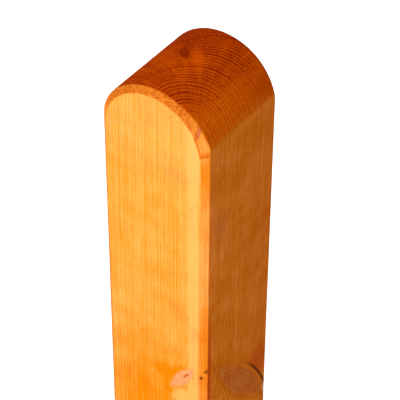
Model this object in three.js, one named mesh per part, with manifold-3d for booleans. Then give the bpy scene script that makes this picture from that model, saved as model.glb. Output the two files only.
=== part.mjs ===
// A square timber post with a rounded head, in millimetres, +Z up.
// The origin is the centre of the foot. The front face looks along -Y, and the barrel of the
// head runs from front to back, along Y.
import * as THREE from 'three';
import { mergeVertices } from 'three/addons/utils/BufferGeometryUtils.js';
import Module from 'manifold-3d';

const wasm = await Module();
wasm.setup();

// Driving dimensions of the timber
const SECTION = 90; // width and depth of the planed square
const LENGTH = 450; // foot to crown
const HEAD_RISE = 33.5; // springing line to crown
const EDGE_CHAMFER = 4.8; // leg of the 45 degree chamfer on every long edge
// The chamfer round each end of the head follows a tighter arc than the barrel, so it widens from
// the crown to the springing and runs out over the long edges' chamfers.
const CROWN_CHAMFER = 4.3; // its leg at the crown
const CHAMFER_ARC_LIFT = 2; // how far its arc's centre lies above the barrel's

// Where the branches start. The pith, the centre of the growth rings, runs up the front right edge.
const WHORL_HEIGHT = 207;
const KNOT_GAP = 0.3; // clearance round a knot in its socket
const KNOT_TIP_RADIUS = 0.4; // a branch's first, thinnest stretch
const KNOT_SWELL_POWER = 1.1; // above 1, a knot is thickest beyond the middle of its length

// Fineness of the facets
const HEAD_SIDES = 120; // all round the barrel's full circle
const KNOT_STEPS = 14;
const KNOT_SIDES = 24;

const HALF = SECTION / 2;
const HEAD_RADIUS = (HALF ** 2 + HEAD_RISE ** 2) / (2 * HEAD_RISE);
const HEAD_CENTRE = LENGTH - HEAD_RADIUS;

// A knot is a branch that the trunk grew round. Its axis goes from start, at the pith, to end,
// and its radius is the largest that it has on the way.
const BRANCH_DROP = 54; // degrees below the horizontal of the branch along the front
const REAR_BRANCH_DROP = 50; // degrees below the horizontal of the branch along the side
const KNOTS = {
  front_knot: {
    start: new THREE.Vector3(38, -HALF + 1, WHORL_HEIGHT + 1.5),
    toward: new THREE.Vector3(-1, -0.05, -Math.tan(THREE.MathUtils.degToRad(BRANCH_DROP))),
    length: 42,
    radius: 6,
    colour: '#dd9258',
  },
  side_knot: {
    start: new THREE.Vector3(HALF - 2, -36, WHORL_HEIGHT),
    toward: new THREE.Vector3(0.025, 1, -Math.tan(THREE.MathUtils.degToRad(REAR_BRANCH_DROP))),
    length: 125,
    radius: 12.5,
    colour: '#c07a3c',
  },
  corner_knot_upper: {
    start: new THREE.Vector3(HALF + 3, -HALF, WHORL_HEIGHT - 2),
    toward: new THREE.Vector3(-1, 1, 0),
    length: 9,
    radius: 1.2,
    colour: '#8a4a22',
  },
  corner_knot_lower: {
    start: new THREE.Vector3(HALF, -HALF - 2.5, WHORL_HEIGHT - 8),
    toward: new THREE.Vector3(-1, 1, 0),
    length: 9,
    radius: 1.2,
    colour: '#9a5a30',
  },
};

// The closed solid of a geometry, with the vertices that its faces share joined into one.
function solidOf(geometry) {
  geometry.deleteAttribute('normal');
  geometry.deleteAttribute('uv');
  const joined = mergeVertices(geometry);
  const corners = joined.index.array;
  const triangles = [];
  for (let first = 0; first < corners.length; first += 3) {
    const [a, b, c] = corners.slice(first, first + 3);
    if (a !== b && b !== c && c !== a) triangles.push(a, b, c);
  }
  return new wasm.Manifold(
    new wasm.Mesh({
      numProp: 3,
      vertProperties: joined.attributes.position.array,
      triVerts: Uint32Array.from(triangles),
    }),
  );
}

function geometryOf(solid) {
  const { vertProperties, triVerts } = solid.getMesh();
  const geometry = new THREE.BufferGeometry();
  geometry.setAttribute('position', new THREE.BufferAttribute(vertProperties, 3));
  geometry.setIndex(new THREE.BufferAttribute(triVerts, 1));
  geometry.computeVertexNormals();
  return geometry;
}

function mesh(name, solid, colour) {
  const material = new THREE.MeshStandardMaterial({ color: colour, roughness: 0.6, metalness: 0 });
  const made = new THREE.Mesh(geometryOf(solid), material);
  made.name = name;
  return made;
}

// The square timber with its long edges chamfered, seen in plan and drawn up to its full length.
function squareTimber() {
  const flat = HALF - EDGE_CHAMFER;
  const plan = new THREE.Shape();
  plan.moveTo(flat, -HALF);
  plan.lineTo(HALF, -flat);
  plan.lineTo(HALF, flat);
  plan.lineTo(flat, HALF);
  plan.lineTo(-flat, HALF);
  plan.lineTo(-HALF, flat);
  plan.lineTo(-HALF, -flat);
  plan.lineTo(-flat, -HALF);
  return solidOf(new THREE.ExtrudeGeometry(plan, { depth: LENGTH, bevelEnabled: false }));
}

// Everything under a vault that runs from front to back: a round turned about the Y axis through
// the vault's centre, and a block from there down. Its profile gives radius and depth in pairs.
function underVault(profile, centreHeight) {
  const turned = new THREE.LatheGeometry(
    profile.map(([radius, depth]) => new THREE.Vector2(radius, depth)),
    HEAD_SIDES,
  );
  turned.translate(0, 0, centreHeight);
  const block = new THREE.BoxGeometry(2 * SECTION, 2 * SECTION, 2 * LENGTH);
  block.translate(0, 0, centreHeight - LENGTH);
  return solidOf(turned).add(solidOf(block));
}

// The post before its knots are set in: the square timber, cut to the barrel of the head and then
// to the pair of cones that chamfer the barrel's ends.
function planedTimber() {
  const barrel = [
    [0, -HALF],
    [HEAD_RADIUS, -HALF],
    [HEAD_RADIUS, HALF],
    [0, HALF],
  ];
  const endRadius = HEAD_RADIUS - CROWN_CHAMFER - CHAMFER_ARC_LIFT;
  const cones = [
    [0, -HALF],
    [endRadius, -HALF],
    [endRadius + HALF, 0],
    [endRadius, HALF],
    [0, HALF],
  ];
  return squareTimber()
    .intersect(underVault(barrel, HEAD_CENTRE))
    .intersect(underVault(cones, HEAD_CENTRE + CHAMFER_ARC_LIFT));
}

// A branch: a tear-drop turned about its own axis, thin at the pith and round at its far end.
function branch({ start, toward, length, radius }, clearance) {
  const profile = [new THREE.Vector2(0, -clearance)];
  for (let step = 0; step <= KNOT_STEPS; step += 1) {
    const along = step / KNOT_STEPS;
    const swell = Math.sin(Math.PI * along ** KNOT_SWELL_POWER);
    const distance = along * (length + 2 * clearance) - clearance;
    profile.push(new THREE.Vector2(KNOT_TIP_RADIUS + radius * swell + clearance, distance));
  }
  profile.push(new THREE.Vector2(0, length + clearance));

  const turned = new THREE.LatheGeometry(profile, KNOT_SIDES);
  const lathe = new THREE.Vector3(0, 1, 0);
  const aim = new THREE.Quaternion().setFromUnitVectors(lathe, toward.clone().normalize());
  turned.applyQuaternion(aim);
  turned.translate(start.x, start.y, start.z);
  return solidOf(turned);
}

const timber = planedTimber();
const post = new THREE.Group();
let socketed = timber;
for (const [name, knot] of Object.entries(KNOTS)) {
  post.add(mesh(name, branch(knot, 0).intersect(timber), knot.colour));
  socketed = socketed.subtract(branch(knot, KNOT_GAP));
}
post.add(mesh('post', socketed, '#e39a45'));

export default post;
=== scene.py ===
"""A square timber post with a rounded head, in stained softwood, on a pale studio floor.

The timber and its knots are cut from one solid wood texture: growth rings about a pith that runs
up the front right edge, and two branches that leave it. The mesh and the materials work the rings
out from the same formulas, so that relief and colour agree. Shapes and formulas are in
millimetres, and the Blender scene is in metres.
"""

import math

import bpy
import numpy as np
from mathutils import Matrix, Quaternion, Vector


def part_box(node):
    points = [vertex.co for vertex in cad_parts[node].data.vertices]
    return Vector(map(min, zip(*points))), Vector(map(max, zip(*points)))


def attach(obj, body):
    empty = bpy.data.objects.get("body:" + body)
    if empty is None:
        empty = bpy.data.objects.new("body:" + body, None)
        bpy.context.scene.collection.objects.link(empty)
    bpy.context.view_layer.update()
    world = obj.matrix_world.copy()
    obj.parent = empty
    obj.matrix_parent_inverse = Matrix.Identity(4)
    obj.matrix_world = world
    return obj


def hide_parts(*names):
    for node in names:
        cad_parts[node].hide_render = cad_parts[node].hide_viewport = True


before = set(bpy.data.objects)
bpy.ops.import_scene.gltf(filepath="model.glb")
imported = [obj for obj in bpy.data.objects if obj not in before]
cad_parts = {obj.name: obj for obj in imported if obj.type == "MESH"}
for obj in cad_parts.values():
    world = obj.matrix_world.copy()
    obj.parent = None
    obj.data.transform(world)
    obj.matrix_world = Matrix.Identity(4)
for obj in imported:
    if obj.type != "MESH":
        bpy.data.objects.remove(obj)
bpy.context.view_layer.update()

MM = 0.001

# The timber, as in the CAD model. Its section and length are the CAD post's own.
POST_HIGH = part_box("post")[1] / MM
HALF = POST_HIGH.x
LENGTH = POST_HIGH.z
HEAD_RISE = 33.5
HEAD_RADIUS = (HALF**2 + HEAD_RISE**2) / (2 * HEAD_RISE)
HEAD_CENTRE = LENGTH - HEAD_RADIUS
EDGE_CHAMFER = 4.8
CROWN_CHAMFER = 4.3
CHAMFER_ARC_LIFT = 2
END_ARC_RADIUS = HEAD_RADIUS - CROWN_CHAMFER - CHAMFER_ARC_LIFT
DEEPEST = 1000  # deeper than any point inside the timber

# The branches, as in the CAD model: where each starts, its way, its length and largest radius.
# The two long ones also draw the growth rings along: how far, and from how near.
WHORL = 207
FRONT_BRANCH_DROP = 54  # degrees below the horizontal
SIDE_BRANCH_DROP = 50
KNOT_TIP = 0.4
KNOT_SWELL_POWER = 1.1
FRONT_KNOT = {
    "start": Vector((38, -HALF + 1, WHORL + 1.5)),
    "way": Vector((-1, -0.05, -math.tan(math.radians(FRONT_BRANCH_DROP)))).normalized(),
    "length": 42,
    "radius": 6,
    "ring_pull": 5,
    "ring_reach": 12,
}
SIDE_KNOT = {
    "start": Vector((HALF - 2, -36, WHORL)),
    "way": Vector((0.025, 1, -math.tan(math.radians(SIDE_BRANCH_DROP)))).normalized(),
    "length": 125,
    "radius": 12.5,
    "ring_pull": 8,
    "ring_reach": 20,
}
UPPER_CORNER_KNOT = {
    "start": Vector((HALF + 3, -HALF, WHORL - 2)),
    "way": Vector((-1, 1, 0)).normalized(),
    "length": 9,
    "radius": 1.2,
}
LOWER_CORNER_KNOT = {
    "start": Vector((HALF, -HALF - 2.5, WHORL - 8)),
    "way": Vector((-1, 1, 0)).normalized(),
    "length": 9,
    "radius": 1.2,
}

# The growth rings.
PITH_X, PITH_Y = 39.5, -46
FIRST_RING = 3.4
RING_CROWDING = 350  # over this radius the rings would come to stand three times as close
RING_PULL_DEPTH = 3  # how deep inside a branch its pull on the rings is complete

WHITE = (1, 1, 1, 1)

# Stained colours, each as a pale and a dark one, along the grain and across it.
LONG_GRAIN = ((0.74, 0.302, 0.092), (0.57, 0.180, 0.002))
END_GRAIN = ((0.60, 0.128, 0.002), (0.27, 0.031, 0.0006))
WARM_END_GRAIN = (0.66, 0.185, 0.002)
TORN_GRAIN = ((0.66, 0.260, 0.055), (0.42, 0.120, 0.010))
KNOT_WOOD = ((0.59, 0.280, 0.140), (0.38, 0.10, 0.018))
PITH_PINK = (0.47, 0.16, 0.075)
# The colour that darkens the right face: partly deeper staining, partly painted shade.
SIDE_STAIN_AND_SHADE = (0.48, 0.09, 0.0008)
BARK = (0.12, 0.028, 0.004)
# The colour of a pale spot on the right face.
PALE_SPOT_COLOUR = (0.62, 0.42, 0.30)
WOOD_GLOSS = 0.01

# The floor, and how strongly it glows near the post and beyond the lamps' reach.
FLOOR_GREY = (0.4, 0.4, 0.4, 1)
FLOOR_ROUGHNESS = 0.9
NEAR_GLOW = 0.6
ADDED_FAR_GLOW = 0.15
LAMPS_REACH = (800, 3000)  # distances over which the lamps' light fades


# ---------------------------------------------------------------- formulas for mesh and material


class Field:
    """A number that a material works out at each point of a surface, written like any number."""

    def __init__(self, tree, socket):
        self.tree = tree
        self.socket = socket

    def maths(self, operation, *others, clamp=False):
        node = self.tree.nodes.new("ShaderNodeMath")
        node.operation = operation
        node.use_clamp = clamp
        for slot, value in zip(node.inputs, (self, *others)):
            plug(self.tree, slot, value)
        return Field(self.tree, node.outputs[0])

    def __add__(self, other):
        return self.maths("ADD", other)

    def __sub__(self, other):
        return self.maths("SUBTRACT", other)

    def __mul__(self, other):
        return self.maths("MULTIPLY", other)

    def __truediv__(self, other):
        return self.maths("DIVIDE", other)

    def __pow__(self, other):
        return self.maths("POWER", other)

    def __neg__(self):
        return self.maths("MULTIPLY", -1)

    def __rsub__(self, other):
        return -self + other

    __radd__ = __add__
    __rmul__ = __mul__


def plug(tree, slot, value):
    """Feeds an input from a field or a socket, or sets it to a number."""
    if isinstance(value, Field):
        value = value.socket
    if isinstance(value, bpy.types.NodeSocket):
        tree.links.new(value, slot)
    else:
        slot.default_value = value


def sine(value):
    return value.maths("SINE") if isinstance(value, Field) else np.sin(value)


def square_root(value):
    return value.maths("SQRT") if isinstance(value, Field) else np.sqrt(value)


def size_of(value):
    return value.maths("ABSOLUTE") if isinstance(value, Field) else np.abs(value)


def angle(up, across):
    return up.maths("ARCTAN2", across) if isinstance(up, Field) else np.arctan2(up, across)


def whole_part(value):
    return value.maths("FLOOR") if isinstance(value, Field) else np.floor(value)


def larger(value, other):
    return value.maths("MAXIMUM", other) if isinstance(value, Field) else np.maximum(value, other)


def smaller(value, other):
    return value.maths("MINIMUM", other) if isinstance(value, Field) else np.minimum(value, other)


def limited(value):
    """The value, kept from 0 to 1."""
    return value.maths("ADD", 0, clamp=True) if isinstance(value, Field) else np.clip(value, 0, 1)


def between(value, low, high):
    """0 at low, 1 at high, and a smooth rise from one to the other."""
    share = limited((value - low) / (high - low))
    return share * share * (3 - 2 * share)


def over_arc(x, rise):
    """A point's distance from an arc's centre. Below the centre the arc has ended, so there the
    distance soon becomes too small to matter."""
    above, below = larger(rise, 0), larger(-rise, 0)
    return square_root(x * x + above * above) - below


def timber_faces(x, y, z):
    """How far outside each surface of the planed timber a point lies: its sides, ends, edge
    chamfers, barrel, the cones round the barrel's ends, and foot."""
    across, depth = size_of(x), size_of(y)
    edges = across + depth - 2 * HALF + EDGE_CHAMFER
    barrel = over_arc(x, z - HEAD_CENTRE) - HEAD_RADIUS
    cones = over_arc(x, z - HEAD_CENTRE - CHAMFER_ARC_LIFT) + depth - END_ARC_RADIUS - HALF
    diagonal = math.sqrt(0.5)
    return [across - HALF, depth - HALF, edges * diagonal, barrel, cones * diagonal, -z]


def arris(x, y, z):
    """How far a point of the surface lies from the nearest arris, roughly, and 0 on it."""
    nearest, *others = timber_faces(x, y, z)
    second = nearest - DEEPEST
    for face in others:
        second = larger(second, smaller(nearest, face))
        nearest = larger(nearest, face)
    return nearest - second


def branch_fields(knot, x, y, z):
    """A point's place by a branch: its distance outside the branch's surface (below 0 inside), its
    distance from the branch's axis, and its share of the way along."""
    start, way, length = knot["start"], knot["way"], knot["length"]
    east, north, up = x - start.x, y - start.y, z - start.z
    travelled = east * way.x + north * way.y + up * way.z
    squared = east * east + north * north + up * up - travelled * travelled
    from_axis = square_root(larger(squared, 0))
    along = limited(travelled / length)
    swell = sine(along**KNOT_SWELL_POWER * math.pi)
    past_ends = larger(travelled - length, 0) + larger(-travelled, 0)
    outside = from_axis - KNOT_TIP - knot["radius"] * swell + past_ends
    return outside, from_axis, along


def growth(x, y, z):
    """How many growth rings lie between the pith and a point: a whole number at a ring's edge.
    The pith sways a little on its way up, and the rings are neither quite round nor evenly wide."""
    east = x - PITH_X - 0.8 * sine(z / 70 + 1.0)
    north = y - PITH_Y - 0.6 * sine(z / 95 + 2.0)
    radius = square_root(east * east + north * north)
    turn = angle(north, east)
    wander = 0.010 * sine(turn * 3 + 1.0) + 0.006 * sine(turn * 8 + 2.0) + 0.003 * sine(turn * 17)
    radius = radius * (1 + wander + z * 0.00003)
    for knot in (FRONT_KNOT, SIDE_KNOT):
        outside = branch_fields(knot, x, y, z)[0]
        pull = knot["ring_pull"] * (1 - between(outside, -RING_PULL_DEPTH, knot["ring_reach"]))
        radius = radius - pull
    rings = radius / FIRST_RING * (1 + radius / RING_CROWDING)
    return rings + 0.22 * sine(rings * 0.83 + 0.5) + 0.12 * sine(rings * 2.1 + 2.0)


def latewood(rings):
    """1 in the dense dark wood at a ring's outer edge, 0 in the pale wood after it."""
    share = rings - whole_part(rings)
    return between(share, 0.2, 0.75) * (1 - between(share, 0.85, 1.0))


# ---------------------------------------------------------------- materials

# Marks in the wood, each as its centre and its reach along x, y and z.
PALE_UNDER_FRONT_KNOT = ((24, -HALF, 169), (11, 9, 13))
DARK_UNDER_FRONT_KNOT = ((13, -HALF, 171), (5, 5, 3.5))
DARK_RIGHT_OF_FRONT_KNOT = ((28, -HALF, 192), (5, 5, 5.5))
DARK_LEFT_OF_FRONT_KNOT = ((8, -HALF, 190), (11, 5, 11))
GREY_BLUSH = ((HALF, -26, 340), (20, 10, 18))
STAIN_OVER_SIDE_KNOT = ((HALF, 30, 160), (9, 20, 24))
STAIN_UNDER_SIDE_KNOT = ((HALF, HALF, 100), (9, 16, 30))
# A darker band down the right face by its front edge.
DARK_BAND_AT_FRONT_EDGE = ((HALF, -38.8, 190), (4, 3, 90))
PALE_SPOT_AT_REAR_ARRIS = ((HALF, 38.5, 121), (4, 2.4, 5))
BARE_PITH = ((36.5, -41.8, 430.5), (1.3, 4, 6))
PITH_RIM = ((36.1, -42.4, 429.5), (1.9, 4.6, 8))

# Rays in the end grain, by angle about the pith, distance from it, and height.
DARK_RAY = ((2.32, 70, LENGTH), (0.06, 10, 40))
PALE_RAY = ((2.19, 60, LENGTH), (0.07, 26, 40))

# The front knot's heart, by distance from its axis, share of the way along, and y.
FRONT_KNOT_HEART = ((0.4, 0.4, -HALF), (1.1, 0.13, 5))

# Stretches over which a look comes or goes: where each starts and where it is complete.
CHAMFER_RUN_OUT = (403, 409)  # heights at which the long edges' chamfers end
# Heights over which the arrises' paleness, partly wear and partly painted highlight, fades out.
ARRIS_WEAR_AND_HIGHLIGHT_ENDS = (385, 400)  # heights
# Where the painted ridge shadow along the arch's lower right arris starts, in x and in height.
RIDGE_SHADOW_LEFT = (33.5, 35)  # x
RIDGE_SHADOW_FOOT = (410, 412)  # heights


def noise(x, y, z, detail=2.0, roughness=0.5):
    """Smooth noise about 0, mostly within 0.5 either way, one wave to each unit of x, y and z."""
    tree = next(value.tree for value in (x, y, z) if isinstance(value, Field))
    joined = tree.nodes.new("ShaderNodeCombineXYZ")
    for slot, value in zip(joined.inputs, (x, y, z)):
        plug(tree, slot, value)
    made = tree.nodes.new("ShaderNodeTexNoise")
    made.inputs["Scale"].default_value = 1
    made.inputs["Detail"].default_value = detail
    made.inputs["Roughness"].default_value = roughness
    tree.links.new(joined.outputs[0], made.inputs["Vector"])
    return Field(tree, made.outputs["Fac"]) * 2 - 1


def mixed(share, first, second):
    """A colour between two colours, by a share from 0 to 1."""
    tree = share.tree
    made = tree.nodes.new("ShaderNodeMix")
    made.data_type = "RGBA"
    plug(tree, made.inputs["Factor"], share)
    for slot, colour in ((made.inputs[6], first), (made.inputs[7], second)):
        plug(tree, slot, (*colour, 1) if isinstance(colour, tuple) else colour)
    return made.outputs[2]


def place_fields(tree):
    """The point's x, y and z in millimetres, and its surface normal's x, y and z."""
    place = tree.nodes.new("ShaderNodeTexCoord").outputs["Object"]
    normal = tree.nodes.new("ShaderNodeNewGeometry").outputs["Normal"]
    fields = []
    for vector, scale in ((place, 1 / MM), (normal, 1)):
        split = tree.nodes.new("ShaderNodeSeparateXYZ")
        tree.links.new(vector, split.inputs[0])
        fields += [Field(tree, part) * scale for part in split.outputs]
    return fields


def spot(place, centre, reach):
    """1 at a centre, fading smoothly to 0 at a reach, which has a length for each direction."""
    squared = 0
    for value, middle, length in zip(place, centre, reach):
        share = (value - middle) / length
        squared = squared + share * share
    return 1 - between(squared, 0, 1)


class WoodPoint:
    """What a wood material knows about each point of a surface: its place, the kinds of surface
    it lies on, as shares from 0 to 1, and the wood's texture and branches there."""

    def __init__(self, tree):
        self.x, self.y, self.z, *facing = place_fields(tree)
        self.place = (self.x, self.y, self.z)
        self.find_surface(*facing)
        self.find_texture()
        self.find_branches()

    def find_surface(self, east, north, up):
        """Every chamfer leans halfway to the front or rear, which tells it from the faces."""
        slant = size_of(north)
        end_cut = between(slant, 0.35, 0.6)
        below_head = 1 - between(self.z, *CHAMFER_RUN_OUT)
        self.facing_front = -north
        self.front = between(self.facing_front, 0.8, 0.95)
        self.side = between(east, 0.75, 0.95)
        self.edge_chamfer = end_cut * (1 - between(slant, 0.75, 0.9)) * below_head
        self.head = between(size_of(up), 0.02, 0.5)
        self.arch_chamfer = self.head * end_cut
        self.barrel = self.head * (1 - end_cut)
        self.by_arris = 1 - between(arris(*self.place), 0.1, 0.9)

    def find_texture(self):
        x, y, z = self.place
        rings = growth(x, y, z)
        east, north = x - PITH_X, y - PITH_Y
        self.late = latewood(rings)
        self.turn = angle(north, east)
        self.from_pith = square_root(east * east + north * north)
        ring_strength = 0.65 + 1.1 * noise(whole_part(rings) * 1.7, z / 120, 4, detail=1)
        self.ring_lines = self.late * ring_strength * between(self.from_pith, 5, 24)
        self.fibre = noise(x / 0.8, y / 0.8, z / 20, detail=3, roughness=0.6)
        self.dash = between(noise(x / 0.9, y / 0.9, z / 5, detail=1), 0.2, 0.45)
        self.cloud = noise(x / 26, y / 26 + 5, z / 20, detail=4, roughness=0.6)
        self.streak = noise(x / 3, y / 3, z / 140)
        self.speckle = noise(x / 0.8, y / 0.8, z / 0.8, detail=3, roughness=0.75)
        self.clump = noise(x / 2.6, y / 2.6, z / 2.6)
        self.rays = noise(self.turn * 14, rings / 12, 3)
        self.fleck = noise(x / 0.9, y / 0.9, z / 2.6) + 0.9 * noise(x / 14, y / 14, z / 25 + 9)

    def find_branches(self):
        front = branch_fields(FRONT_KNOT, *self.place)
        side = branch_fields(SIDE_KNOT, *self.place)
        self.outside_front_knot, self.front_knot_axis, self.along_front_knot = front
        self.outside_side_knot, self.side_knot_axis, self.along_side_knot = side
        onward = self.y - SIDE_KNOT["start"].y
        axis_drop = onward * math.tan(math.radians(SIDE_BRANCH_DROP))
        self.over_side_branch = between(self.z - WHORL + axis_drop, -4, 4)

    def mark(self, centre_and_reach):
        return spot(self.place, *centre_and_reach)


# Each tone below is a sum of fields with a weight for each. 0 is the pale one of the two colours
# that it mixes, and 1 the dark one.


def front_tone(wood):
    """How much darker the front is than plain wood, place by place, or paler below 0."""
    x, z = wood.x, wood.z
    pale_strip = between(x, 28, 32) * (1 - between(x, 38, 40.5))
    low_down = 1 - between(z, 130, 260)
    halo = 1 - between(wood.outside_front_knot, 0, 8)
    halo = halo * between(z, 184, 196) * (1 - between(x, 22, 32))
    tone = low_down * (0.2 + 0.35 * between(x, -36, -10) - 0.45 * between(x, 8, 34))
    tone = tone - 0.4 * pale_strip + 0.5 * halo
    tone = tone - 0.8 * wood.mark(PALE_UNDER_FRONT_KNOT) + 0.7 * wood.mark(DARK_UNDER_FRONT_KNOT)
    tone = tone + 0.6 * wood.mark(DARK_RIGHT_OF_FRONT_KNOT)
    return wood.front * (tone + 0.4 * wood.mark(DARK_LEFT_OF_FRONT_KNOT))


def long_grain_colour(wood):
    """Wood cut along the grain, on the faces and the long edges' chamfers."""
    z, side = wood.z, wood.side
    by_side_knot = side * (1 - between(wood.outside_side_knot, 0, 16))
    pale_stretch = between(z, 230, 290) * (1 - between(z, 350, 400))
    tone = 0.35 + 0.36 * wood.ring_lines + 0.5 * wood.late * by_side_knot
    tone = tone + wood.fibre * (0.4 + 0.3 * side) + 0.35 * wood.dash + 0.4 * wood.streak
    # On the right face the tone is darker all over: partly deeper staining, partly painted shade.
    tone = tone + 0.5 * wood.cloud + side * (0.3 + 1.1 * wood.speckle)
    tone = tone + wood.edge_chamfer * (0.35 - 0.5 * pale_stretch) + front_tone(wood)
    return mixed(limited(tone), *LONG_GRAIN)


def end_grain_colour(wood):
    """Wood cut across the grain, on the barrel, where the growth rings and the rays show."""
    x, y = wood.x, wood.y
    ring_contrast = (0.25 + 0.65 * between(x, -30, 12)) * (1 - 0.7 * between(x, 18, 40))
    rear = between(y, 0, 40) * (1 - 0.5 * between(x, -10, 20))
    polar_place = (wood.turn, wood.from_pith, wood.z)
    dark_ray = spot(polar_place, *DARK_RAY) * (1 + wood.rays + wood.speckle)
    tone = 0.48 + ring_contrast * (wood.ring_lines - 0.3) + 0.3 * rear - 0.5 * between(x, 16, 42)
    tone = tone + 1.5 * wood.speckle + 0.4 * wood.rays + 0.3 * wood.cloud
    tone = tone + 0.6 * dark_ray - 0.35 * spot(polar_place, *PALE_RAY)
    warm = between(x, 24, 40) * (1 - between(y, -20, 45)) * (0.75 + wood.clump - 0.5 * wood.late)
    return mixed(limited(warm), mixed(limited(tone), *END_GRAIN), WARM_END_GRAIN)


def torn_grain_colour(wood):
    """Wood with its fibres torn by the cutter, on the chamfer round the head."""
    tone = 0.72 + 1.8 * wood.speckle + 0.8 * wood.clump - 0.6 * between(wood.x, 24, 42)
    return mixed(limited(tone), *TORN_GRAIN)


def trunk_colour(wood):
    """The trunk's wood, by how each surface cuts it, with its flecks and blushes."""
    colour = mixed(wood.barrel, long_grain_colour(wood), end_grain_colour(wood))
    torn = wood.arch_chamfer * (1 - 0.3 * between(wood.x, 34, 41))
    colour = mixed(torn, colour, torn_grain_colour(wood))
    patches = between(wood.clump + wood.cloud, -0.5, 0.3)
    colour = mixed(0.25 * wood.front * between(wood.z, 360, 410) * patches, colour, KNOT_WOOD[0])
    flecks = between(wood.fleck, 0.35, 0.75) * (1 - wood.head) * (1 - 0.7 * wood.side)
    colour = mixed(0.5 * flecks, colour, LONG_GRAIN[0])
    colour = mixed(0.6 * wood.edge_chamfer * between(-wood.x, 0, 40), colour, END_GRAIN[0])
    blush = wood.mark(GREY_BLUSH) + 0.5 * between(wood.cloud, 0.15, 0.4) * (1 - wood.side)
    return mixed(0.3 * limited(blush) * (1 - wood.head), colour, PITH_PINK)


def with_knots(wood, colour):
    """A colour with the wood of the two long branches set into it."""
    heart = spot((wood.front_knot_axis, wood.along_front_knot, wood.y), *FRONT_KNOT_HEART)
    # The knot wood on the right face is darker too, like the face round it: partly deeper staining,
    # partly painted shade.
    tone = 0.2 + 0.5 * wood.side + 0.5 * wood.fibre + 0.4 * wood.clump + 0.7 * heart
    in_front_knot = 1 - between(wood.outside_front_knot, -2.8, 0.6)
    in_side_knot = 0.45 * (1 - between(wood.outside_side_knot, -5, 0))
    return mixed(larger(in_front_knot, in_side_knot), colour, mixed(limited(tone), *KNOT_WOOD))


def side_stain_and_shade(wood):
    """How far the right face is darkened: all over, partly by deeper staining and partly as painted
    shade, more so to the rear, and in marks round the side knot and along the front edge.
    """
    y, outside = wood.y, wood.outside_side_knot
    stain_and_shade = 0.12 * between(y, -10, 40) + 0.2 * between(wood.clump + wood.cloud, -0.1, 0.5)
    rim = 1 - between(size_of(outside + 0.6 - wood.fibre), 0.2, 2.6)
    rim = 0.25 * rim * (1 - wood.over_side_branch) * (1 - between(y, -4, 8))
    over_knot = wood.mark(STAIN_OVER_SIDE_KNOT) * between(outside, 0, 3)
    over_knot = over_knot * (0.7 + 2 * wood.speckle + 0.5 * wood.clump)
    under_knot = 0.7 * wood.mark(STAIN_UNDER_SIDE_KNOT)
    # A darker band down the right face by its front edge.
    front_edge = 0.9 * wood.mark(DARK_BAND_AT_FRONT_EDGE)
    for other in (rim, over_knot, under_knot, front_edge):
        stain_and_shade = larger(stain_and_shade, other)
    return limited(stain_and_shade * wood.side)


def bark_marks(wood):
    """Where bark is grown in: hairlines in the side knot, an arc over it, and the pin knots."""
    outside, over_branch = wood.outside_side_knot, wood.over_side_branch
    hair = noise(0.8 * wood.side_knot_axis, 5 * wood.along_side_knot, over_branch, 3, 0.65)
    hair = 0.28 * between(hair, -0.05, 0.35) * (1 - between(outside, -1, 3))
    arc = over_branch * between(wood.y, 8, 26) * (1 - between(size_of(outside - 1.2), 0.5, 1.7))
    marks = larger(hair, 0.85 * arc)
    for pin in (UPPER_CORNER_KNOT, LOWER_CORNER_KNOT):
        outside_pin = branch_fields(pin, *wood.place)[0]
        marks = larger(marks, 0.75 * (1 - between(outside_pin, -1, 1.2)))
    return limited(marks * (1 - 0.3 * wood.front))


def with_bare_pith_and_ridge_shadow(wood, colour):
    """A colour with the pith that the chamfer lays bare, and a painted shadow of a ridge along the
    arris that leads to it.
    """
    colour = mixed(0.8 * wood.mark(PITH_RIM), colour, KNOT_WOOD[1])
    colour = mixed(wood.mark(BARE_PITH), colour, PITH_PINK)
    # A painted shadow line along the arris, in the dark torn-grain colour.
    ridge_shadow = wood.facing_front * between(wood.x, *RIDGE_SHADOW_LEFT)
    ridge_shadow = ridge_shadow * between(wood.z, *RIDGE_SHADOW_FOOT)
    return mixed(limited(wood.by_arris * ridge_shadow), colour, TORN_GRAIN[1])


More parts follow.
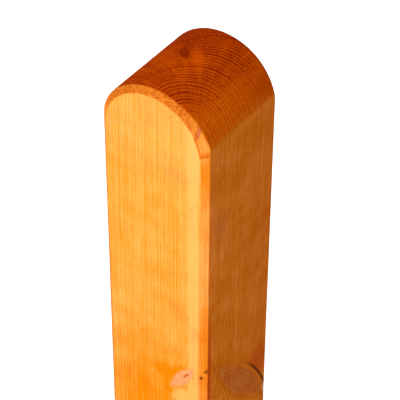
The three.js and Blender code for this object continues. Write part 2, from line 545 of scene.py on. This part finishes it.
def wood_material(name):
    """Softwood as one solid texture, rings, fibres, knots and stains, with some painted shade and
    highlight, cut by whatever it covers.
    """
    material = bpy.data.materials.new(name)
    material.use_nodes = True
    tree = material.node_tree
    surface = tree.nodes["Principled BSDF"]
    wood = WoodPoint(tree)

    colour = with_knots(wood, trunk_colour(wood))
    # The right face darkened, partly by deeper staining and partly as painted shade.
    colour = mixed(side_stain_and_shade(wood), colour, SIDE_STAIN_AND_SHADE)
    colour = mixed(bark_marks(wood), colour, BARK)
    # A pale spot at the right face's rear arris, near the side knot's end.
    colour = mixed(0.6 * wood.mark(PALE_SPOT_AT_REAR_ARRIS), colour, PALE_SPOT_COLOUR)
    colour = with_bare_pith_and_ridge_shadow(wood, colour)
    # Paler arrises: partly wear, partly a painted highlight along the edges, fainter on the right
    # face and fading out towards the head.
    wear_and_highlight = wood.by_arris * (0.3 + 0.5 * wood.clump)
    wear_and_highlight = wear_and_highlight * (1 - between(wood.z, *ARRIS_WEAR_AND_HIGHLIGHT_ENDS)) * (1 - 0.6 * wood.side)
    colour = mixed(limited(wear_and_highlight), colour, LONG_GRAIN[0])
    tree.links.new(colour, surface.inputs["Base Color"])

    plug(tree, surface.inputs["Roughness"], 0.5 + 0.25 * wood.head + 0.1 * wood.fibre)
    surface.inputs["Specular IOR Level"].default_value = WOOD_GLOSS

    bump = tree.nodes.new("ShaderNodeBump")
    bump.inputs["Distance"].default_value = MM
    bump.inputs["Strength"].default_value = 1
    fuzz = wood.speckle * (0.12 * wood.barrel + 0.3 * wood.arch_chamfer)
    plug(tree, bump.inputs["Height"], 0.05 * wood.late + 0.06 * wood.fibre + fuzz)
    tree.links.new(bump.outputs["Normal"], surface.inputs["Normal"])
    return material


def floor_material():
    """A pale floor that glows a little, more so far off, where the lamps no longer reach."""
    material = bpy.data.materials.new("pale_floor")
    material.use_nodes = True
    tree = material.node_tree
    surface = tree.nodes["Principled BSDF"]
    surface.inputs["Base Color"].default_value = FLOOR_GREY
    surface.inputs["Roughness"].default_value = FLOOR_ROUGHNESS
    surface.inputs["Specular IOR Level"].default_value = 0
    surface.inputs["Emission Color"].default_value = WHITE
    x, y = place_fields(tree)[:2]
    far_off = between(square_root(x * x + y * y), *LAMPS_REACH)
    plug(tree, surface.inputs["Emission Strength"], NEAR_GLOW + ADDED_FAR_GLOW * far_off)
    return material


# ---------------------------------------------------------------- meshes

# Fineness of the timber's mesh
ARCH_COLUMNS = 120
CHAMFER_STATIONS = 16
BARREL_STATIONS = 84
ROWS_BELOW_BRANCHES = 10
ROWS_AT_BRANCHES = 50
ROWS_ABOVE_BRANCHES = 24
ROWS_AT_RUN_OUT = 8
SETTLING_STEPS = 5  # how many times the mesh is moved nearer to the true surface

BRANCHES_LOWEST, BRANCHES_HIGHEST = 100, 225  # heights between which they come out
RUN_OUT_DEPTH = 8  # of the stretch under the springing where the arch's chamfer ends
CHAMFER_STRIP = 6.4  # depth of the strip at each end that holds its chamfer
END_ARCH_INSET = CROWN_CHAMFER + 0.6  # how far inside the barrel the mesh's end arches start
ARRIS_SOFTNESS = 0.16
SHARP_ANGLE = 40  # degrees, over which an edge is drawn sharp

# How deep weather and handling go, and how much deeper that is on the head.
SOFT_WOOD_WEAR, ADDED_HEAD_WEAR = 0.03, 0.05
RIPPLE_WEAR = 0.05
NIBBLED_ARRIS, ADDED_HEAD_NIBBLE = 0.1, 0.12
ARRIS_REACH = (0.1, 1.2)  # distances from an arris over which the nibbling fades

# The slit left by the pith at the arch's lower right, as its centre and its reach.
PITH_SLIT = (35.4, -42.6, 429)
PITH_SLIT_REACH = (0.6, 2.2, 7)
PITH_SLIT_FADE = (0.3, 1.3)  # shares of its reach over which it fades
PITH_SLIT_DEPTH = 0.6

# The fineness of a knot's mesh, and the gap round it.
KNOT_STEPS = 60
KNOT_SIDES = 64
KNOT_GAP = 0.3  # the CAD model's clearance round a knot
SEEN_GAP = 0.05  # the real wood's


def row_heights(springing):
    """The mesh's rows up the sides, from the foot: close together where the branches come out."""
    run_out = springing - RUN_OUT_DEPTH
    stretches = (
        (0, BRANCHES_LOWEST, ROWS_BELOW_BRANCHES),
        (BRANCHES_LOWEST, BRANCHES_HIGHEST, ROWS_AT_BRANCHES),
        (BRANCHES_HIGHEST, run_out, ROWS_ABOVE_BRANCHES),
        (run_out, springing, ROWS_AT_RUN_OUT),
    )
    return np.concatenate([np.linspace(*stretch, endpoint=False) for stretch in stretches])


def outline(half, radius):
    """A section's outline as (x, z), for a half width and a head radius: the foot from left to
    right, up the right side, over the arch and down the left side."""
    springing = HEAD_CENTRE + math.sqrt(radius**2 - half**2)
    turns = math.asin(half / radius) * np.linspace(-1, 1, ARCH_COLUMNS, endpoint=False)
    rows = row_heights(springing)
    foot = np.stack([radius * np.sin(turns), 0 * turns], axis=1)
    right = np.stack([0 * rows + half, rows], axis=1)
    arch = np.stack([-radius * np.sin(turns), HEAD_CENTRE + radius * np.cos(turns)], axis=1)
    left = np.stack([0 * rows - half, np.append(rows, springing)[:0:-1]], axis=1)
    return np.concatenate([foot, right, arch, left])


def end_grid(corners, first, flipped):
    """The faces over one end. They share the outline's corners, from the one numbered first, and
    add corners of their own inside it."""
    column_height = 1000
    shares = row_heights(column_height) / column_height
    rows = len(shares)
    count = 2 * (ARCH_COLUMNS + rows)
    arch_start = first + ARCH_COLUMNS + rows
    inner = len(corners) - 1
    for column in range(1, ARCH_COLUMNS):
        x, y, top = corners[arch_start + ARCH_COLUMNS - column]
        corners += [(x, y, top * share) for share in shares[1:]]

    def corner_at(column, row):
        if row == 0:
            return first + column
        if column == ARCH_COLUMNS:
            return first + ARCH_COLUMNS + row
        if row == rows:
            return arch_start + ARCH_COLUMNS - column
        if column == 0:
            return first + count - row
        return inner + (column - 1) * (rows - 1) + row

    faces = []
    for column in range(ARCH_COLUMNS):
        for row in range(rows):
            around = ((column, row), (column + 1, row), (column + 1, row + 1), (column, row + 1))
            face = [corner_at(*place) for place in around]
            faces.append(face[::-1] if flipped else face)
    return faces


def timber_grid():
    """The corners and faces of the timber before it is softened: the outline carried from front
    to back, and a grid over each end."""
    strip = np.linspace(0, CHAMFER_STRIP, CHAMFER_STATIONS, endpoint=False)
    barrel = np.linspace(CHAMFER_STRIP - HALF, HALF - CHAMFER_STRIP, BARREL_STATIONS + 1)
    stations = np.concatenate([strip - HALF, barrel, HALF - strip[::-1]])
    corners = []
    for y in stations:
        depth = HALF - abs(y)
        half = HALF - max(EDGE_CHAMFER - depth, 0)
        radius = HEAD_RADIUS - max(END_ARCH_INSET - depth, 0)
        corners += [(x, y, z) for x, z in outline(half, radius)]
    count = len(corners) // len(stations)
    faces = []
    for near in range(0, len(corners) - count, count):
        for point in range(count):
            onward = (point + 1) % count
            far = near + count
            faces.append((near + onward, near + point, far + point, far + onward))
    last = len(corners) - count
    faces += end_grid(corners, 0, flipped=False)
    faces += end_grid(corners, last, flipped=True)
    return np.array(corners), faces


def outside_timber(place):
    """How far outside the planed timber each place lies, with the arrises softened."""
    faces = np.stack(timber_faces(*place.T)) / ARRIS_SOFTNESS
    most = faces.max(axis=0)
    return ARRIS_SOFTNESS * (most + np.log(np.exp(faces - most).sum(axis=0)))


def slope(place):
    """The way out of the timber at each place, as a unit vector."""
    step = 0.01
    rise = []
    for axis in np.eye(3) * step:
        rise.append(outside_timber(place + axis) - outside_timber(place - axis))
    rise = np.stack(rise, axis=1)
    return rise / np.linalg.norm(rise, axis=1, keepdims=True)


def wear(place):
    """How far in, in millimetres, weather and handling have taken the surface at each place."""
    x, y, z = place.T
    head = between(np.abs(slope(place)[:, 2]), 0.05, 0.42)
    soft_wood = 1 - latewood(growth(x, y, z))
    ripple = 0.5 + 0.3 * np.sin(x / 7 + y / 9 + z / 23) + 0.2 * np.sin(z / 11 + x / 5 - y / 6)
    nibble = np.sin(x * 1.3 + y * 1.7 + z * 0.31) * np.sin(z * 0.87 - x * 0.9 + y * 0.4)
    nibble = limited(nibble) * (1 - between(arris(x, y, z), *ARRIS_REACH))
    across, deep, up = np.abs(place - PITH_SLIT).T / np.array(PITH_SLIT_REACH)[:, None]
    slit = 1 - between(np.hypot(across, deep) + up, *PITH_SLIT_FADE)
    return (
        soft_wood * (SOFT_WOOD_WEAR + ADDED_HEAD_WEAR * head)
        + RIPPLE_WEAR * ripple
        + nibble * (NIBBLED_ARRIS + ADDED_HEAD_NIBBLE * head)
        + PITH_SLIT_DEPTH * slit
    )


def make_object(name, corners, faces, material):
    mesh = bpy.data.meshes.new(name)
    mesh.from_pydata([Vector(corner) * MM for corner in corners], [], faces)
    mesh.materials.append(material)
    made = bpy.data.objects.new(name, mesh)
    bpy.context.scene.collection.objects.link(made)
    return made


def planed_timber(material):
    """The whole timber, with its arrises softened and its surface weathered, before knots are cut.
    """
    corners, faces = timber_grid()
    for _ in range(SETTLING_STEPS):
        corners = corners - slope(corners) * outside_timber(corners)[:, None]
    corners = corners - slope(corners) * wear(corners)[:, None]
    return make_object("post_timber", corners, faces, material)


def branch(name, knot, clearance, material):
    """A branch: a teardrop turned about its own axis, thin at the pith and round at its end."""
    turn_to = Vector((0, 0, 1)).rotation_difference(knot["way"])
    length = knot["length"] + 2 * clearance
    corners = []
    for step in range(KNOT_STEPS + 1):
        along = step / KNOT_STEPS
        swell = math.sin(math.pi * along**KNOT_SWELL_POWER)
        radius = KNOT_TIP + knot["radius"] * swell + clearance
        travelled = along * length - clearance
        for side in range(KNOT_SIDES):
            turn = 2 * math.pi * side / KNOT_SIDES
            spoke = Vector((radius * math.cos(turn), radius * math.sin(turn), travelled))
            corners.append(knot["start"] + turn_to @ spoke)
    last = KNOT_STEPS * KNOT_SIDES
    faces = [range(KNOT_SIDES)[::-1], range(last, last + KNOT_SIDES)]
    for step in range(KNOT_STEPS):
        for side in range(KNOT_SIDES):
            onward = (side + 1) % KNOT_SIDES
            near, far = step * KNOT_SIDES, (step + 1) * KNOT_SIDES
            faces.append((near + side, near + onward, far + onward, far + side))
    return make_object(name, corners, faces, material)


def cut(piece, tool, operation):
    """Cuts a piece with a tool: what is left is DIFFERENCE outside it, or INTERSECT inside it."""
    modifier = piece.modifiers.new("cut", "BOOLEAN")
    modifier.operation = operation
    modifier.solver = "MANIFOLD"
    modifier.object = tool
    evaluated = piece.evaluated_get(bpy.context.evaluated_depsgraph_get())
    piece.data = bpy.data.meshes.new_from_object(evaluated)
    piece.modifiers.clear()


def finish_shading(piece):
    piece.data.shade_smooth()
    piece.data.set_sharp_from_angle(angle=math.radians(SHARP_ANGLE))


# ---------------------------------------------------------------- camera and light

CAMERA_AZIMUTH, CAMERA_ELEVATION, CAMERA_ROLL = 34.56, 40.47, 0.39  # degrees
CAMERA_TARGET = Vector((9.1, 0, LENGTH - 121.6))
CAMERA_DISTANCE = 1.2998  # metres
LENS, SENSOR_WIDTH = 161.14, 36  # millimetres
LIGHT_TARGET = Vector((0, 0, LENGTH * 0.6))
FLOOR_REACH = 6000


def direction(azimuth, elevation):
    """The way from the post to a camera or lamp: azimuth 0 is the front, and 90 the right."""
    turn, rise = math.radians(azimuth), math.radians(elevation)
    level = math.cos(rise)
    return Vector((math.sin(turn) * level, -math.cos(turn) * level, math.sin(rise)))


def place_and_aim(thing, place, target):
    bpy.context.scene.collection.objects.link(thing)
    thing.location = place
    thing.rotation_mode = "QUATERNION"
    thing.rotation_quaternion = (target - place).to_track_quat("-Z", "Y")


def add_camera():
    """A long lens, looking down on the head of the post, whose foot is below the picture."""
    target = CAMERA_TARGET * MM
    camera = bpy.data.objects.new("camera", bpy.data.cameras.new("camera"))
    camera.data.sensor_width = SENSOR_WIDTH
    camera.data.lens = LENS
    place = target + direction(CAMERA_AZIMUTH, CAMERA_ELEVATION) * CAMERA_DISTANCE
    place_and_aim(camera, place, target)
    roll = Quaternion((0, 0, 1), math.radians(CAMERA_ROLL))
    camera.rotation_quaternion = camera.rotation_quaternion @ roll
    bpy.context.scene.camera = camera


def add_softbox(name, azimuth, elevation, distance, side, watts):
    target = LIGHT_TARGET * MM
    lamp = bpy.data.lights.new(name, "AREA")
    lamp.size = side
    lamp.energy = watts
    softbox = bpy.data.objects.new(name, lamp)
    place_and_aim(softbox, target + direction(azimuth, elevation) * distance, target)


def add_world(light, seen):
    """A white studio, which may be seen brighter than the light that it gives."""
    world = bpy.data.worlds.new("studio")
    world.use_nodes = True
    tree = world.node_tree
    background = tree.nodes["Background"]
    background.inputs["Color"].default_value = WHITE
    by_eye = Field(tree, tree.nodes.new("ShaderNodeLightPath").outputs["Is Camera Ray"])
    plug(tree, background.inputs["Strength"], by_eye * (seen - light) + light)
    bpy.context.scene.world = world


def add_floor():
    ways = ((-1, -1), (1, -1), (1, 1), (-1, 1))
    corners = [(x * FLOOR_REACH, y * FLOOR_REACH, 0) for x, y in ways]
    make_object("floor", corners, [(0, 1, 2, 3)], floor_material())


# ---------------------------------------------------------------- the scene

add_camera()
add_softbox("key_light", azimuth=3, elevation=32, distance=1.6, side=1.3, watts=32)
add_softbox("rim_light", azimuth=205, elevation=35, distance=1.8, side=1.3, watts=12)
add_world(light=0.1, seen=0.9)
add_floor()
bpy.context.scene.view_settings.view_transform = "Standard"
bpy.context.scene.view_settings.look = "High Contrast"

KNOTS = {
    "front_knot": FRONT_KNOT,
    "side_knot": SIDE_KNOT,
    "corner_knot_upper": UPPER_CORNER_KNOT,
    "corner_knot_lower": LOWER_CORNER_KNOT,
}
trunk_wood = wood_material("stained_trunk_wood")
knot_wood = trunk_wood.copy()
knot_wood.name = "stained_knot_wood"
post = planed_timber(trunk_wood)
whole_timber = post.copy()
for node, knot in KNOTS.items():
    piece = branch(f"{node}_wood", knot, KNOT_GAP - SEEN_GAP, knot_wood)
    socket = branch("socket", knot, KNOT_GAP, trunk_wood)
    cut(piece, whole_timber, "INTERSECT")
    cut(post, socket, "DIFFERENCE")
    bpy.data.objects.remove(socket)
    finish_shading(piece)
    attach(piece, "root")
    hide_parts(node)
bpy.data.objects.remove(whole_timber)
finish_shading(post)
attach(post, "root")
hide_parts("post")
